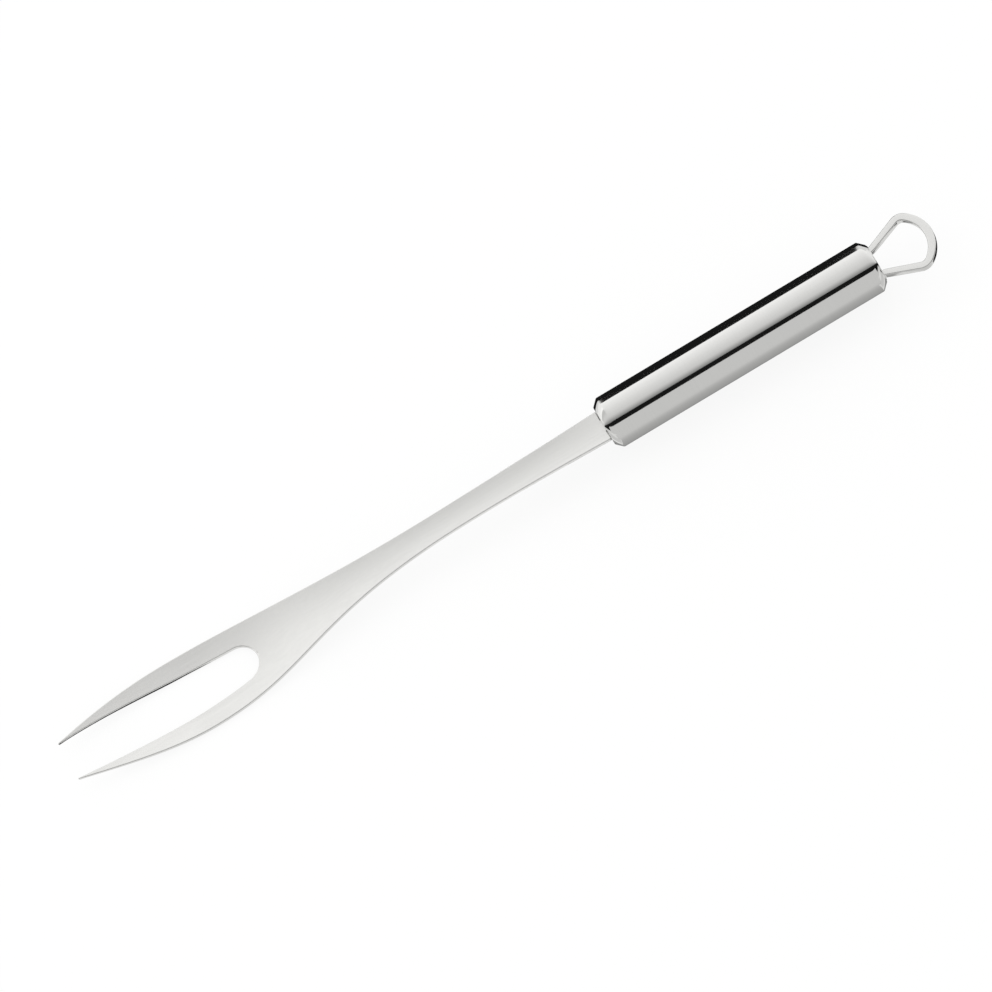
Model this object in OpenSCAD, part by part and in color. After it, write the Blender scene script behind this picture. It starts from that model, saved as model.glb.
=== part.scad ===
// Carving fork: one stamped and curved two-tine blade, whose tang sits in a tubular handle with a cap
// at each end and a bent wire loop to hang it by. Lengths run along X, the tines point to -X.

/* [Blade outline] */
// Length of the blade that shows, from the tips to the face of the handle
blade_l = 221.5; // [200:0.5:250]
// Width over both tines at their widest
head_w = 32.2; // [29:0.1:36]
// Distance from the tips to the widest place
widest_at = 50; // [40:0.5:58]
// Width over both tips
tip_span = 16.6; // [14:0.1:19]
// Outward slope of each tine's outer edge at its tip
tip_flare = 0.26; // [0.18:0.01:0.34]
// Width of the shank at its narrowest
neck_w = 10.2; // [8.5:0.1:12]
// Distance from the tips to the narrowest place
neck_at = 160; // [145:1:175]
// Width of the shank where it ends before the handle
shank_w = 12.7; // [11:0.1:14]
// Outward slope of the shank's edge where it ends
shank_flare = 0.03; // [0:0.01:0.06]

/* [Gap between the tines] */
// Length of the gap, from the tips to its round root
gap_l = 76; // [68:0.5:84]
// Radius of the round root
root_r = 7.2; // [6.2:0.1:8]
// Angle at which the gap's sides leave the round root
root_splay = 5.7; // [2:0.1:9]
// Inward slope of each tine's inner edge at its tip
gap_flare = 0.08; // [0.02:0.01:0.12]
// Width of each tip
tip_w = 0.4; // [0.3:0.05:0.8]

/* [Sheet] */
// Thickness of the shank and the palm
sheet_t = 1.5; // [1.2:0.1:2]
// Thickness of the tines at their tips
tip_t = 1.1; // [0.7:0.05:1.3]
// Length over which the tines thin out
thin_l = 45; // [30:1:70]
// Radius of the eased edges
edge_r = 0.35; // [0.15:0.05:0.5]

/* [Side curve and camber] */
// How far the belly of the head lies below the handle's axis
belly_drop = 14.25; // [11:0.25:17]
// Distance from the tips to the lowest place of the belly
belly_at = 55; // [48:0.5:62]
// How far the tips lie below the handle's axis
tip_drop = 9.4; // [7:0.05:11]
// Downward slope of the blade at the tips, seen from the side
tip_slope = 0.06; // [0.02:0.01:0.12]
// Distance from the tips to the place from which the shank runs level
level_at = 190; // [178:1:200]
// Camber radius across the head, hollow side up
head_camber_r = 165; // [120:5:300]
// Camber radius across the shank, hollow side up
shank_camber_r = 90; // [70:5:200]

/* [Shoulder and tang] */
// Gap between the end of the shank and the handle
shoulder_gap = 0.05; // [0.02:0.01:0.5]
// Radius of the shank's end corners
shoulder_r = 0.6; // [0.6:0.1:1.8]
// Width of the tang
tang_w = 5; // [4:0.1:7]
// Radius of the inside corner between the shoulder and the tang
tang_fillet = 0.1; // [0.02:0.01:0.12]
// Length of the tang inside the handle
tang_in = 28; // [15:1:60]

/* [Handle] */
// Length of the handle tube
handle_l = 111; // [95:0.5:130]
// Outer diameter of the handle tube
handle_d = 19.8; // [18:0.1:23]
// Wall of the handle tube
handle_wall = 1; // [0.8:0.1:1.4]
// Radius at which the tube's flat end faces turn into domes
handle_face_r = 7.2; // [6.9:0.1:8]
// How far each domed end reaches along the tube
handle_end_l = 2.4; // [1.6:0.1:3]
// Radius of the dome's curve in a cut through the axis
handle_end_r = 8; // [6:0.5:14]

/* [Caps] */
// Radius of the front cap's face
front_cap_r = 6.7; // [6:0.1:7]
// How deep the front cap reaches into the tube
front_cap_l = 5; // [3:0.5:8]
// Radius of the rear cap's face
rear_cap_r = 7; // [6.8:0.1:7.2]
// How far the rear cap stands out of the tube
rear_cap_proud = 0.3; // [0.2:0.05:1]
// How deep the rear cap reaches into the tube
rear_cap_l = 5; // [3:0.5:8]
// Rounded rim of the rear cap's face
rear_cap_edge_r = 0.15; // [0.1:0.05:0.2]

/* [Hanging loop] */
// How far the loop reaches past the end of the tube
loop_l = 22.8; // [19:0.5:28]
// Thickness of the loop, square to its flat face
loop_t = 2.6; // [2:0.1:3]
// Width of the loop's legs where they leave the rear cap
leg_w = 2.4; // [1.8:0.1:2.5]
// Width of the loop at its far end
crown_w = 3.1; // [2.4:0.1:3.6]
// Distance of each leg from the axis, at the rear cap
leg_y = 5.4; // [5:0.1:5.5]
// Angle at which the legs spread
leg_spread = 23.4; // [18:0.2:27]
// Radius at which each leg bends outwards
leg_bend_r = 3; // [2.5:0.5:8]
// Radius of the two round corners, at the middle of the loop's width
corner_r = 3.6; // [2.8:0.1:4.5]
// Radius of the far end, at the middle of the loop's width
crown_r = 13; // [11:0.5:16]
// Rounding of the loop's long edges
loop_edge_r = 0.45; // [0.2:0.05:0.6]
// Length of the legs inside the tube
leg_in = 8; // [6:0.5:14]

/* [Fits] */
// Clearance between a cap and the mouth of the tube
cap_fit = 0.05; // [0.03:0.01:0.15]
// Clearance round the tang in the front cap
tang_fit = 0.1; // [0.05:0.01:0.2]
// Clearance round each leg in the rear cap
leg_fit = 0.1; // [0.05:0.01:0.2]

/* [Hidden] */
$fn = 96;

// Places along the length, counted from the tips
shank_end = blade_l - shoulder_gap;
rear_face = blade_l + handle_l;
total_l = rear_face + loop_l;
tang_end = blade_l + tang_in;

// How long each spline holds its end directions, as shares of its span
tine_hold = [0.44, 0.28];
palm_hold = [0.36, 0.55];
shank_hold = [0.48, 0.16];
gap_hold = [0.43, 0.15];
rise_hold = [0.45, 0.33];
dip_hold = [0.31, 0.70];

// Mesh steps of the loft
tine_rings = 44;
root_rings = 14;
palm_rings = 48;
corner_rings = 5;
tang_rings = 6;
row_points = 5;
edge_steps = [45, 90];
tip_point = 0.3;
slope_step = 0.01;
tine_crowding = 1.15;
edge_room = 0.4;

// Where the rings at the shoulder meet the middle line, as shares of its corner radius
corner_fan = [0, 0.5];
fillet_fan = [0.6, 1];

// How far a cut reaches past what it cuts
over = 1;

// Cubic curve through four control values
function bezier(t, p) =
    pow(1 - t, 3) * p[0] + 3 * pow(1 - t, 2) * t * p[1] + 3 * (1 - t) * t * t * p[2] + pow(t, 3) * p[3];

// Parameter at which the curve reaches x, found by halving
function bezier_at(x, xs, low = 0, high = 1, steps = 24) =
    let (middle = (low + high) / 2)
    steps == 0 ? middle
    : bezier(middle, xs) < x ? bezier_at(x, xs, middle, high, steps - 1)
    : bezier_at(x, xs, low, middle, steps - 1);

// Height at x of the spline from knot a to knot b, where a knot is [x, height, slope]
function spline(x, a, b, hold) =
    let (span = b[0] - a[0])
    let (out = hold[0] * span)
    let (in = hold[1] * span)
    let (t = bezier_at(x, [a[0], a[0] + out, b[0] - in, b[0]]))
    bezier(t, [a[1], a[1] + a[2] * out, b[1] - b[2] * in, b[1]]);

function smooth(f) = let (c = max(0, min(1, f))) c * c * (3 - 2 * c);
function unit(v) = v / norm(v);
function between(ends, f) = ends[0] + (ends[1] - ends[0]) * f;

// Outer edge of the blade: half its width at the distance x from the tips
tip_knot = [0, tip_span / 2, tip_flare];
widest_knot = [widest_at, head_w / 2, 0];
neck_knot = [neck_at, neck_w / 2, 0];
shank_knot = [shank_end, shank_w / 2, shank_flare];
function outer_y(x) =
    x < widest_at ? spline(x, tip_knot, widest_knot, tine_hold)
    : x < neck_at ? spline(x, widest_knot, neck_knot, palm_hold)
    : spline(x, neck_knot, shank_knot, shank_hold);
function outer_slope(x) = (outer_y(x + slope_step) - outer_y(x - slope_step)) / (2 * slope_step);
function outer_normal(x) = unit([-outer_slope(x), 1]);

// Inner edge of a tine, up to the place where the round root takes over
root_centre = gap_l - root_r;
root_start = root_centre + root_r * sin(root_splay);
gap_tip_knot = [0, tip_span / 2 - tip_w, gap_flare];
gap_root_knot = [root_start, root_r * cos(root_splay), -tan(root_splay)];
function inner_y(x) = spline(x, gap_tip_knot, gap_root_knot, gap_hold);
function inner_slope(x) = (inner_y(x + slope_step) - inner_y(x - slope_step)) / (2 * slope_step);
function inner_normal(x) = unit([inner_slope(x), -1]);

// Middle of the sheet, its camber and its thickness
rise_knots = [[0, -tip_drop, -tip_slope], [belly_at, -belly_drop, 0]];
dip_knots = [[belly_at, -belly_drop, 0], [level_at, 0, 0]];
function spine_z(x) =
    x < belly_at ? spline(x, rise_knots[0], rise_knots[1], rise_hold)
    : x < level_at ? spline(x, dip_knots[0], dip_knots[1], dip_hold)
    : 0;
function camber(x) =
    let (f = smooth((x - gap_l) / (neck_at - gap_l)))
    (1 - f) / head_camber_r + f / shank_camber_r;
function middle_z(p) = spine_z(p[0]) + camber(p[0]) * p[1] * p[1] / 2;
function thickness(x) = tip_t + (sheet_t - tip_t) * smooth(x / thin_l);

// A point of the skin over the plan point p, sunk by depth below the upper or the lower face
function skin_point(p, face, depth = 0) =
    [p[0], p[1], middle_z(p) + face * (thickness(p[0]) / 2 - depth)];

// Points of a rounded edge, from the upper face to the lower one
function rounded_edge(p, normal, r) =
    [for (face = [1, -1])
        for (a = face > 0 ? edge_steps : [for (i = [len(edge_steps) - 1 : -1 : 0]) edge_steps[i]])
            skin_point(p - normal * r * (1 - sin(a)), face, r * (1 - cos(a)))];

// Rings across one half of the blade: [inner point, inner normal, outer point, outer normal]
function outline(x) = [[x, outer_y(x)], outer_normal(x)];
function tine_ring(x) = concat([[x, inner_y(x)], inner_normal(x)], outline(x));
function root_ring(f) =
    let (a = (90 - root_splay) * (1 - f))
    let (away = [cos(a), sin(a)])
    concat([[root_centre, 0] + root_r * away, -away], outline(root_start + (gap_l - root_start) * f));
function palm_ring(x) = concat([[x, 0], [0, 0]], outline(x));
function fan_ring(f, point, normal) =
    concat([[shank_end - shoulder_r * (1 - f), 0], [0, 0]], [point, normal]);
function tang_ring(x) = [[x, 0], [0, 0], [x, tang_w / 2], [0, 1]];

corner_centre = [shank_end - shoulder_r, outer_y(shank_end) - shoulder_r];
fillet_centre = [shank_end + tang_fillet, tang_w / 2 + tang_fillet];
rings = concat(
    [for (i = [0 : tine_rings - 1])
        tine_ring(tip_point + (root_start - tip_point) * pow(i / tine_rings, tine_crowding))],
    [for (i = [0 : root_rings]) root_ring(i / root_rings)],
    [for (i = [1 : palm_rings]) palm_ring(gap_l + (corner_centre[0] - gap_l) * i / palm_rings)],
    [for (i = [1 : corner_rings])
        let (f = i / corner_rings)
        let (away = [sin(90 * f), cos(90 * f)])
        fan_ring(between(corner_fan, f), corner_centre + shoulder_r * away, away)],
    [for (i = [0 : corner_rings])
        let (f = i / corner_rings)
        let (away = [cos(90 * f), sin(90 * f)])
        fan_ring(between(fillet_fan, f), fillet_centre - tang_fillet * away, away)],
    [for (i = [1 : tang_rings]) tang_ring(fillet_centre[0] + (tang_end - fillet_centre[0]) * i / tang_rings)]
);
gap_rings = tine_rings + root_rings;
last_ring = len(rings) - 1;

// Skin points of ring i on the side of +Y: those of the half itself, then those at its inner edge
function edge_radius(ring) =
    let (room = ring[1] == [0, 0] ? edge_r : edge_room * norm(ring[2] - ring[0]))
    min(edge_r, room, edge_room * thickness(ring[2][0]));
function row(ring) =
    let (r = edge_radius(ring))
    let (from = ring[0] - r * ring[1])
    let (to = ring[2] - r * ring[3])
    [for (j = [0 : row_points - 1]) from + (to - from) * j / (row_points - 1)];
function half_points(ring) =
    let (plan = row(ring))
    concat(
        [for (j = [1 : row_points - 1]) skin_point(plan[j], 1)],
        rounded_edge(ring[2], ring[3], edge_radius(ring)),
        [for (j = [row_points - 1 : -1 : 1]) skin_point(plan[j], -1)]
    );
function inner_points(ring) =
    let (plan = row(ring))
    let (edge = ring[1] == [0, 0] ? [] : rounded_edge(ring[0], ring[1], edge_radius(ring)))
    concat(
        [skin_point(plan[0], -1)],
        [for (i = [len(edge) - 1 : -1 : 0]) edge[i]],
        [skin_point(plan[0], 1)]
    );
function across(points) = [for (p = points) [p[0], -p[1], p[2]]];

// Where each point stands in the list: the halves share their inner points from the root on
half_n = 2 * (row_points - 1) + 2 * len(edge_steps);
inner_n = 2 * len(edge_steps) + 2;
loop_n = half_n + inner_n;
root_size = 2 * half_n + inner_n;
palm_size = 2 * half_n + 2;
function ring_start(i) =
    i <= gap_rings ? 2 * loop_n * i
    : 2 * loop_n * gap_rings + root_size + palm_size * (i - gap_rings - 1);
function shared_place(i, k) = i == gap_rings ? k - half_n : k == half_n ? 0 : 1;
function index(i, side, k) =
    i < gap_rings ? ring_start(i) + side * loop_n + k
    : k < half_n ? ring_start(i) + side * half_n + k
    : ring_start(i) + 2 * half_n + shared_place(i, k);
function is_skin(i, k) = i < gap_rings || k < half_n || k == loop_n - 1;
function turned(side, face) = side == 0 ? face : [face[2], face[1], face[0]];

tip_middle = [0, tip_span / 2 - tip_w / 2];
blade_points = concat(
    [for (i = [0 : last_ring])
        let (half = half_points(rings[i]))
        let (inner = inner_points(rings[i]))
        each i < gap_rings ? concat(half, inner, across(half), across(inner)) : concat(half, across(half), inner)],
    [skin_point(tip_middle, 0), across([skin_point(tip_middle, 0)])[0], [tang_end, 0, 0]]
);
tip_index = len(blade_points) - 3;
tang_index = len(blade_points) - 1;
blade_faces = concat(
    [for (i = [0 : last_ring - 1])
        for (side = [0, 1])
            for (k = [0 : loop_n - 1])
                let (next = (k + 1) % loop_n)
                if (is_skin(i, k))
                    each [
                        turned(side, [index(i, side, k), index(i, side, next), index(i + 1, side, next)]),
                        turned(side, [index(i, side, k), index(i + 1, side, next), index(i + 1, side, k)])
                    ]],
    [for (side = [0, 1])
        for (k = [0 : loop_n - 1])
            turned(side, [tip_index + side, index(0, side, (k + 1) % loop_n), index(0, side, k)])],
    [for (side = [0, 1])
        for (k = [0 : loop_n - 1])
            let (next = (k + 1) % loop_n)
            if (is_skin(last_ring, k))
                turned(side, [tang_index, index(last_ring, side, k), index(last_ring, side, next)])]
);

// The fork stands on its lowest point, in the middle of its length
blade_low = min([for (p = blade_points) p[2]]);
axis_z = max(-blade_low, handle_d / 2);
module in_frame() {
    translate([-total_l / 2, 0, axis_z]) children();
}

// Turns a shape made along +Z into one along +X that starts at x
module along_x(x) {
    translate([x, 0, 0]) rotate([0, 90, 0]) children();
}

module fork_blade() {
    color([0.82, 0.82, 0.82]) in_frame() polyhedron(points = blade_points, faces = blade_faces, convexity = 6);
}

// Centre of the arc that domes an end of the tube: distance from the axis, then from the end face
dome_chord = [handle_d / 2 - handle_face_r, handle_end_l];
dome_depth = sqrt(pow(handle_end_r, 2) - pow(norm(dome_chord) / 2, 2));
dome_centre = [handle_face_r, 0] + dome_chord / 2 + dome_depth * unit([-dome_chord[1], dome_chord[0]]);

// Half section of the tube's outside, or of its bore if sunk by the wall, for a turn about its axis
module tube_section(sunk = 0) {
    intersection() {
        translate([0, sunk]) square([handle_d / 2 - sunk, handle_l - 2 * sunk]);
        union() {
            for (x = [dome_centre[1], handle_l - dome_centre[1]])
                translate([dome_centre[0], x]) circle(handle_end_r - sunk);
            translate([0, dome_centre[1]]) square([handle_d, handle_l - 2 * dome_centre[1]]);
        }
    }
}

mouth_front_r = front_cap_r + cap_fit;
mouth_rear_r = rear_cap_r + cap_fit;
module handle_tube() {
    color([0.75, 0.75, 0.76]) in_frame() along_x(blade_l) rotate_extrude() difference() {
        tube_section();
        tube_section(handle_wall);
        translate([0, -over]) square([mouth_front_r, handle_wall + 2 * over]);
        translate([0, handle_l - handle_wall - over]) square([mouth_rear_r, handle_wall + 2 * over]);
    }
}

// Each cap has a flange that the tube's domed end holds, and that clears the dome by the cap's fit
flange_r = between([mouth_rear_r, handle_d / 2 - handle_wall], 0.5);
flange_arc_r = handle_end_r - handle_wall - cap_fit;
flange_x = max(handle_wall, dome_centre[1] - sqrt(pow(flange_arc_r, 2) - pow(flange_r - dome_centre[0], 2)));
module front_cap() {
    color([0.72, 0.72, 0.73]) in_frame() difference() {
        union() {
            along_x(blade_l) cylinder(h = front_cap_l, r = front_cap_r);
            along_x(blade_l + flange_x) cylinder(h = front_cap_l - flange_x, r = flange_r);
        }
        translate([blade_l - over, -tang_w / 2 - tang_fit, -sheet_t / 2 - tang_fit])
            cube([front_cap_l + 2 * over, tang_w + 2 * tang_fit, sheet_t + 2 * tang_fit]);
    }
}

// Rectangle with round corners about the origin
module rounded_rectangle(size, r) {
    square([size[0] - 2 * r, size[1]], center = true);
    square([size[0], size[1] - 2 * r], center = true);
    for (sx = [-1, 1], sy = [-1, 1]) translate([sx * (size[0] / 2 - r), sy * (size[1] / 2 - r)]) circle(r);
}

leg_hole = [loop_t + 2 * leg_fit, leg_w + 2 * leg_fit];
module rear_cap() {
    back = rear_face - rear_cap_l;
    length = rear_cap_l + rear_cap_proud;
    color([0.72, 0.72, 0.73]) in_frame() difference() {
        union() {
            along_x(back) rotate_extrude() {
                square([rear_cap_r - rear_cap_edge_r, length]);
                square([rear_cap_r, length - rear_cap_edge_r]);
                translate([rear_cap_r - rear_cap_edge_r, length - rear_cap_edge_r]) circle(rear_cap_edge_r);
            }
            along_x(back) cylinder(h = rear_cap_l - flange_x, r = flange_r);
        }
        for (side = [-1, 1])
            translate([0, side * leg_y, 0]) along_x(back - over)
                linear_extrude(height = length + 2 * over) rounded_rectangle(leg_hole, loop_edge_r + leg_fit);
    }
}

// Middle line of the loop on the side of +Y: straight leg, outward bend, spread leg, corner, far end
crown_centre_x = loop_l - crown_w / 2 - crown_r;
bend_start = rear_cap_proud;
bend_end = [bend_start + leg_bend_r * sin(leg_spread), leg_y + leg_bend_r * (1 - cos(leg_spread))];
crown_turn = leg_spread + asin(
    ((crown_centre_x - bend_end[0]) * sin(leg_spread) + bend_end[1] * cos(leg_spread) - corner_r)
    / (crown_r - corner_r));
corner_at = [crown_centre_x, 0] + (crown_r - corner_r) * [cos(crown_turn), sin(crown_turn)];
bend_rings = 5;
loop_corner_rings = 12;
crown_rings = 10;
function left_of(a) = [-sin(a), cos(a)];
half_line = concat(
    [[[-leg_in, leg_y], 0]],
    [for (i = [0 : bend_rings])
        let (a = leg_spread * i / bend_rings)
        [[bend_start, leg_y + leg_bend_r] - leg_bend_r * left_of(a), a]],
    [for (i = [0 : loop_corner_rings])
        let (a = leg_spread + (crown_turn - 90 - leg_spread) * i / loop_corner_rings)
        [corner_at + corner_r * left_of(a), a]],
    [for (i = [1 : crown_rings])
        let (a = -90 + crown_turn * (1 - i / crown_rings))
        [[crown_centre_x, 0] + crown_r * left_of(a), a]]
);
loop_line = concat(
    half_line,
    [for (i = [len(half_line) - 2 : -1 : 0])
        [[half_line[i][0][0], -half_line[i][0][1]], -180 - half_line[i][1]]]
);

// Width of the loop, which grows from the legs to the far end
function line_length(line, upto) =
    upto <= 0 ? 0 : norm(line[upto][0] - line[upto - 1][0]) + line_length(line, upto - 1);
leg_share = line_length(half_line, 1);
half_length = line_length(half_line, len(half_line) - 1) - leg_share;
function width_at(i) =
    let (near = min(i, len(loop_line) - 1 - i))
    let (f = (line_length(half_line, near) - leg_share) / half_length)
    leg_w + (crown_w - leg_w) * max(0, f);

// Corner arcs of the wire's section, as [share of width, share of thickness, angle]
section_corners = [[1, 1, 0], [-1, 1, 90], [-1, -1, 180], [1, -1, 270]];
section_steps = [0, 30, 60, 90];
function loop_ring(i) =
    let (at = loop_line[i][0])
    let (side = left_of(loop_line[i][1]))
    [for (c = section_corners)
        for (step = section_steps)
            let (v = c[0] * (width_at(i) / 2 - loop_edge_r) + loop_edge_r * cos(c[2] + step))
            let (w = c[1] * (loop_t / 2 - loop_edge_r) + loop_edge_r * sin(c[2] + step))
            [rear_face + at[0] + v * side[0], at[1] + v * side[1], w]];
ring_n = len(section_corners) * len(section_steps);
loop_points = [for (i = [0 : len(loop_line) - 1]) each loop_ring(i)];
loop_faces = concat(
    [[for (k = [0 : ring_n - 1]) k]],
    [for (i = [0 : len(loop_line) - 2])
        for (k = [0 : ring_n - 1])
            let (here = i * ring_n)
            let (next = (k + 1) % ring_n)
            each [
                [here + k, here + ring_n + next, here + next],
                [here + k, here + ring_n + k, here + ring_n + next]
            ]],
    [[for (k = [ring_n - 1 : -1 : 0]) (len(loop_line) - 1) * ring_n + k]]
);

module hanging_loop() {
    color([0.8, 0.8, 0.8]) in_frame() polyhedron(points = loop_points, faces = loop_faces, convexity = 6);
}

fork_blade();
handle_tube();
front_cap();
rear_cap();
hanging_loop();
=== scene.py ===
# A two-tine carving fork in a light tent: satin blade, polished tubular handle, wire loop.
# Lengths of the object are written in millimetres and turned into metres where a mesh is made.
import math

import bmesh
import bpy
from mathutils import Matrix, Vector


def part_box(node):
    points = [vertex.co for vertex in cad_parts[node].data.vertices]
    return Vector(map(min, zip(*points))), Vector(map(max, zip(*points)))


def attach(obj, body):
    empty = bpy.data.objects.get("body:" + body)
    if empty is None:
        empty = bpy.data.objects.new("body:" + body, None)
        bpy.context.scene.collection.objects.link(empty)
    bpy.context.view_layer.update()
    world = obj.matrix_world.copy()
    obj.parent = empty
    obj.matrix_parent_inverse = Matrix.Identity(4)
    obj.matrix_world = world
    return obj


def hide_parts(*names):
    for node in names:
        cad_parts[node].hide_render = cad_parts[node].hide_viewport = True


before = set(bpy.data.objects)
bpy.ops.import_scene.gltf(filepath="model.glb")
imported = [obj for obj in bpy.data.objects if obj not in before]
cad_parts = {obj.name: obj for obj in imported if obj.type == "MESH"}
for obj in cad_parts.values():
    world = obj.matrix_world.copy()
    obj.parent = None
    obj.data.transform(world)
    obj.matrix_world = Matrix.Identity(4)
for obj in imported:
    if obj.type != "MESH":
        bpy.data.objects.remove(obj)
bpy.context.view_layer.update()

MM = 0.001

# Camera: the photograph is 992 pixels wide, and the middle of the handle lies at HANDLE_PIXEL
IMAGE_PIXELS = 992
MM_PER_PIXEL = 0.35
HANDLE_PIXEL = (740.2, 344.65)
VIEW_TILT = 30.0
VIEW_ROLL = 30.885
LENS_MM = 600.0
SENSOR_MM = 36.0
CLIP_END_M = 100

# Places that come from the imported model, in millimetres
TUBE_LOW, TUBE_HIGH = (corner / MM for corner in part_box("handle_tube"))
AXIS_Z = (TUBE_LOW.z + TUBE_HIGH.z) / 2
TUBE_FRONT = TUBE_LOW.x
TUBE_REAR = TUBE_HIGH.x
TUBE_R = (TUBE_HIGH.z - TUBE_LOW.z) / 2
TIPS_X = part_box("fork_blade")[0].x / MM
REAR_CAP_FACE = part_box("rear_cap")[1].x / MM
LOOP_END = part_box("hanging_loop")[1].x / MM

# Blade, with distances counted from the tips
BLADE_L = TUBE_FRONT - TIPS_X
HEAD_W = 32.2
WIDEST_AT = 50.0
TIP_SPAN = 16.6
TIP_FLARE = 0.26
NECK_W = 10.2
NECK_AT = 160.0
SHANK_W = 12.7
SHANK_FLARE = 0.03
GAP_L = 76.0
ROOT_R = 7.2
ROOT_SPLAY = math.radians(5.7)
GAP_FLARE = 0.08
TIP_W = 0.4
SHEET_T = 1.5
TIP_T = 1.1
THIN_L = 45.0
EDGE_R = 0.35
BELLY_DROP = 14.25
BELLY_AT = 55.0
TIP_DROP = 9.4
TIP_SLOPE = 0.06
LEVEL_AT = 190.0
HEAD_CAMBER_R = 165.0
SHANK_CAMBER_R = 90.0
SHOULDER_GAP = 0.05
SHOULDER_R = 0.6
TANG_W = 5.0
TANG_FILLET = 0.1
TANG_IN = 28.0

# Handle, caps and loop
WALL = 1.0
END_FACE_R = 7.2
END_L = 2.4
END_R = 8.0
FRONT_CAP_R = 6.7
FRONT_CAP_L = 5.0
FRONT_CAP_EDGE_R = 0.2
REAR_CAP_R = 7.0
REAR_CAP_L = 5.0
REAR_CAP_EDGE_R = 0.15
LOOP_T = 2.6
LEG_W = 2.4
CROWN_W = 3.1
LEG_Y = 5.4
LEG_SPREAD = math.radians(23.4)
LEG_BEND_R = 3.0
CORNER_R = 3.6
CROWN_R = 13.0
LOOP_EDGE_R = 0.45
LEG_IN = 8.0
CAP_FIT = 0.05
TANG_FIT = 0.1
SLOT_EDGE_R = 0.2
LEG_FIT = 0.1


# Meshes

def new_object(name, points, faces, material, marks=None):
    """A smooth object from points in millimetres. marks is one value a point, for the worn edges."""
    mesh = bpy.data.meshes.new(name)
    mesh.from_pydata([Vector(p) * MM for p in points], [], faces)
    mesh.validate()
    shape = bmesh.new()
    shape.from_mesh(mesh)
    bmesh.ops.recalc_face_normals(shape, faces=shape.faces)
    shape.to_mesh(mesh)
    shape.free()
    mesh.shade_smooth()
    if marks:
        edge_wear = mesh.attributes.new("edge_wear", "FLOAT", "POINT")
        edge_wear.data.foreach_set("value", marks)
    mesh.materials.append(material)
    piece = bpy.data.objects.new(name, mesh)
    bpy.context.scene.collection.objects.link(piece)
    return piece


def cut(piece, cutters):
    """Takes the cutters out of the piece and deletes them."""
    for cutter in cutters:
        modifier = piece.modifiers.new("cut", "BOOLEAN")
        modifier.operation = "DIFFERENCE"
        modifier.solver = "EXACT"
        modifier.object = cutter
    bpy.context.view_layer.update()
    graph = bpy.context.evaluated_depsgraph_get()
    mesh = bpy.data.meshes.new_from_object(piece.evaluated_get(graph))
    piece.modifiers.clear()
    piece.data = mesh
    for cutter in cutters:
        bpy.data.objects.remove(cutter)


def dress(piece, node):
    """The piece takes the place of the CAD node, on the one body that the fork has."""
    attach(piece, "root")
    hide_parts(node)
    return piece


def steps(low, high, count):
    return [low + (high - low) * i / count for i in range(count + 1)]


# Curves

def bezier(t, p):
    s = 1 - t
    return s ** 3 * p[0] + 3 * s * s * t * p[1] + 3 * s * t * t * p[2] + t ** 3 * p[3]


def spline(x, a, b, hold):
    """Height at x of the curve from knot a to knot b, where a knot is (x, height, slope)."""
    span = b[0] - a[0]
    out, back = hold[0] * span, hold[1] * span
    xs = (a[0], a[0] + out, b[0] - back, b[0])
    low, high = 0.0, 1.0
    for _ in range(32):
        middle = (low + high) / 2
        low, high = (middle, high) if bezier(middle, xs) < x else (low, middle)
    return bezier(low, (a[1], a[1] + a[2] * out, b[1] - b[2] * back, b[1]))


def smooth(f):
    c = max(0.0, min(1.0, f))
    return c * c * (3 - 2 * c)


# The blade

SLOPE_STEP = 0.01
SHANK_END = BLADE_L - SHOULDER_GAP
ROOT_CENTRE = GAP_L - ROOT_R
ROOT_START = ROOT_CENTRE + ROOT_R * math.sin(ROOT_SPLAY)
TINE_RINGS = 150
ROOT_RINGS = 40
PALM_RINGS = 180
CORNER_RINGS = 12
TANG_RINGS = 8
ROW_STEPS = 12
EDGE_ANGLES = [math.radians(a) for a in (15, 30, 45, 60, 75, 90)]
TIP_POINT = 0.3
TINE_CROWDING = 1.2

# A rounded edge takes at most this share of a narrow tine, and a row of points close behind it,
# SUPPORT_MM away or nearer, keeps its shading off the flat
EDGE_ROOM = 0.4
SUPPORT_MM = 0.08
SUPPORT_SHARE = 0.2

# How far back the rings round the tang's fillet fan out on the middle line, as a share of the shoulder
FILLET_FAN = 0.4

# How far each knot's direction carries into its span, as shares: after the first, before the second
TIP_TO_WIDEST = (0.44, 0.28)
WIDEST_TO_NECK = (0.36, 0.55)
NECK_TO_SHANK = (0.48, 0.16)
GAP_SIDE = (0.43, 0.15)
TIP_TO_BELLY = (0.45, 0.33)
BELLY_TO_LEVEL = (0.31, 0.70)


def outer_y(x):
    if x < WIDEST_AT:
        return spline(x, (0, TIP_SPAN / 2, TIP_FLARE), (WIDEST_AT, HEAD_W / 2, 0), TIP_TO_WIDEST)
    if x < NECK_AT:
        return spline(x, (WIDEST_AT, HEAD_W / 2, 0), (NECK_AT, NECK_W / 2, 0), WIDEST_TO_NECK)
    return spline(x, (NECK_AT, NECK_W / 2, 0), (SHANK_END, SHANK_W / 2, SHANK_FLARE), NECK_TO_SHANK)


def inner_y(x):
    tip = (0, TIP_SPAN / 2 - TIP_W, GAP_FLARE)
    root = (ROOT_START, ROOT_R * math.cos(ROOT_SPLAY), -math.tan(ROOT_SPLAY))
    return spline(x, tip, root, GAP_SIDE)


def slope(curve, x):
    return (curve(x + SLOPE_STEP) - curve(x - SLOPE_STEP)) / (2 * SLOPE_STEP)


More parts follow.
